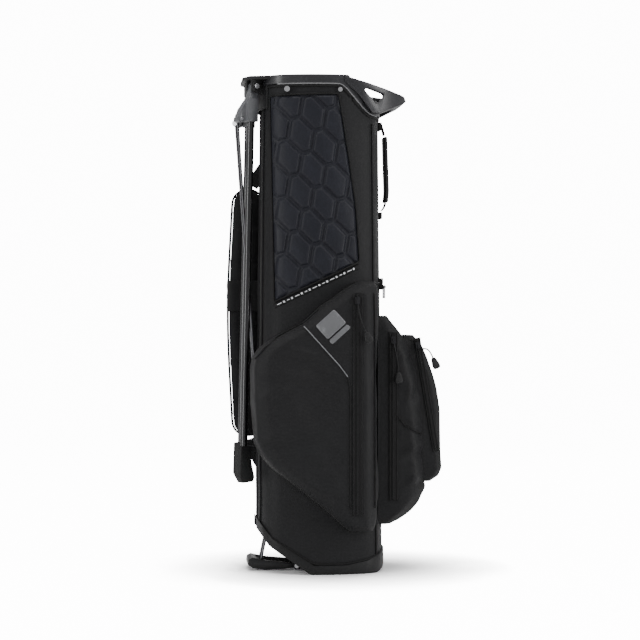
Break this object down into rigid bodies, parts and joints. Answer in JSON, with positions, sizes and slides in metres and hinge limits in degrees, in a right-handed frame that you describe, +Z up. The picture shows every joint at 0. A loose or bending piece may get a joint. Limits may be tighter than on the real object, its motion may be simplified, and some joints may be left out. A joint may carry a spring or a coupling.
{
  "type": "golf stand bag",
  "caption": "Upright golf bag with moulded base and collar, fold-out stand legs worked by a foot lever, zipped pockets, divided mouth and padded carry straps.",
  "frame": {"origin": "on the floor, under the middle of the tube, on the flat sole of the base moulding", "axes": "+Z up the tube, -X towards the stand legs, +X towards the ball pocket, -Y towards the clothing pocket"},
  "size_m": [0.377, 0.304, 0.889],
  "materials": {
    "shell_fabric": "woven ripstop, slight sheen",
    "quilt_fabric": "quilted hexagon cells",
    "pocket_fabric": "woven",
    "pad_fabric": "soft padded mesh",
    "divider_fabric": "plain",
    "webbing": "ribbed webbing",
    "trim_tape": "printed dashes on dark tape",
    "cord": "braided cord",
    "zip_tape": "coil zip",
    "grip_rubber": "moulded",
    "foot_rubber": "moulded",
    "frame_plastic": "fine grain",
    "tub_plastic": "fine grain",
    "leg_head_grey": "light grey moulding",
    "leg_tube_gloss": "gloss black anodised",
    "rod_steel": "drawn wire",
    "pin_steel": "bright",
    "stay_plastic": "glass fibre rod",
    "slider_metal": "gunmetal",
    "emblem_film": "glossy film"
  },
  "bodies": {
    "bag": {"front_spine": "shell_fabric", "body_panel_left": "shell_fabric", "body_panel_right": "shell_fabric", "body_panel_back": "shell_fabric", "base_tub": "tub_plastic", "lever_hinge_pin": "pin_steel", "top_collar": "frame_plastic", "grab_handle": "frame_plastic", "divider_frame": "frame_plastic", "divider_panels": "divider_fabric", "spine_stays": "stay_plastic", "leg_bracket": "frame_plastic", "leg_pivot_bolts": "pin_steel", "apparel_pocket": "pocket_fabric", "ball_pocket": "pocket_fabric", "accessory_pocket": "pocket_fabric", "apparel_zip_tape": "zip_tape", "ball_zip_tape": "zip_tape", "accessory_zip_tape": "zip_tape", "quilted_panel": "quilt_fabric", "trim_tape": "trim_tape", "panel_rivets": "pin_steel", "emblem_patch": "emblem_film", "lift_sleeve": "grip_rubber", "lift_webbing": "webbing", "lift_anchors": "webbing", "ring_tab": "webbing", "hip_pad": "pad_fabric", "shoulder_pad_front": "pad_fabric", "shoulder_pad_back": "pad_fabric", "pad_keeper": "webbing", "strap_hub": "frame_plastic", "strap_webbing": "webbing", "strap_anchors": "webbing"},
    "leg_left": {"leg_head_left": "leg_head_grey", "leg_tube_left": "leg_tube_gloss", "leg_foot_left": "foot_rubber", "horn_pin_left": "pin_steel"},
    "leg_right": {"leg_head_right": "leg_head_grey", "leg_tube_right": "leg_tube_gloss", "leg_foot_right": "foot_rubber", "horn_pin_right": "pin_steel"},
    "push_rod_left": {"push_rod_left": "rod_steel"},
    "push_rod_right": {"push_rod_right": "rod_steel"},
    "foot_lever": {"foot_lever": "frame_plastic"},
    "apparel_zip_slider": {"apparel_slider": "slider_metal", "apparel_pull_cord": "cord", "apparel_pull_grip": "grip_rubber"},
    "ball_zip_slider": {"ball_slider": "slider_metal", "ball_pull_cord": "cord", "ball_pull_grip": "grip_rubber"},
    "accessory_zip_slider": {"accessory_slider": "slider_metal", "accessory_pull_cord": "cord", "accessory_pull_grip": "grip_rubber"},
    "hanging_ring": {"tab_ring": "pin_steel"}
  },
  "joints": [
    {"name": "leg_left_swing", "type": "hinge", "parent": "bag", "child": "leg_left", "pos_m": [-0.12, -0.046, 0.872], "axis": [-0.4226, 0.9063, 0], "range_deg": [0, 35]},
    {"name": "leg_right_swing", "type": "hinge", "parent": "bag", "child": "leg_right", "pos_m": [-0.12, 0.046, 0.872], "axis": [0.4226, 0.9063, 0], "range_deg": [0, 35]},
    {"name": "foot_lever_tilt", "type": "hinge", "parent": "bag", "child": "foot_lever", "pos_m": [-0.042, 0, 0.008], "axis": [0, 1, 0], "range_deg": [0, 24.8]},
    {"name": "push_rod_left_turn", "type": "hinge", "parent": "leg_left", "child": "push_rod_left", "pos_m": [-0.14894, -0.03599, 0.814], "axis": [-0.4226, 0.9063, 0], "range_deg": [-37.8, 0]},
    {"name": "push_rod_right_turn", "type": "hinge", "parent": "leg_right", "child": "push_rod_right", "pos_m": [-0.14894, 0.03599, 0.814], "axis": [0.4226, 0.9063, 0], "range_deg": [-37.8, 0]},
    {"name": "apparel_zip_run", "type": "slide", "parent": "bag", "child": "apparel_zip_slider", "axis": [0, 0, -1], "range_m": [0, 0.36]},
    {"name": "ball_zip_run", "type": "slide", "parent": "bag", "child": "ball_zip_slider", "axis": [0, 0, -1], "range_m": [0, 0.272]},
    {"name": "accessory_zip_run", "type": "slide", "parent": "bag", "child": "accessory_zip_slider", "axis": [0.1683, 0, -0.9857], "range_m": [0, 0.175]},
    {"name": "hanging_ring_swing", "type": "hinge", "parent": "bag", "child": "hanging_ring", "pos_m": [0.11699, -0.036, 0.512], "axis": [0, -1, 0], "range_deg": [0, 90]}
  ],
  "couplings": [
    {"joint": "leg_right_swing", "follows": "leg_left_swing", "ratio": 1},
    {"joint": "foot_lever_tilt", "follows": "leg_left_swing", "ratio": 0.7072},
    {"joint": "push_rod_left_turn", "follows": "leg_left_swing", "ratio": -1.079},
    {"joint": "push_rod_right_turn", "follows": "leg_left_swing", "ratio": -1.079}
  ]
}
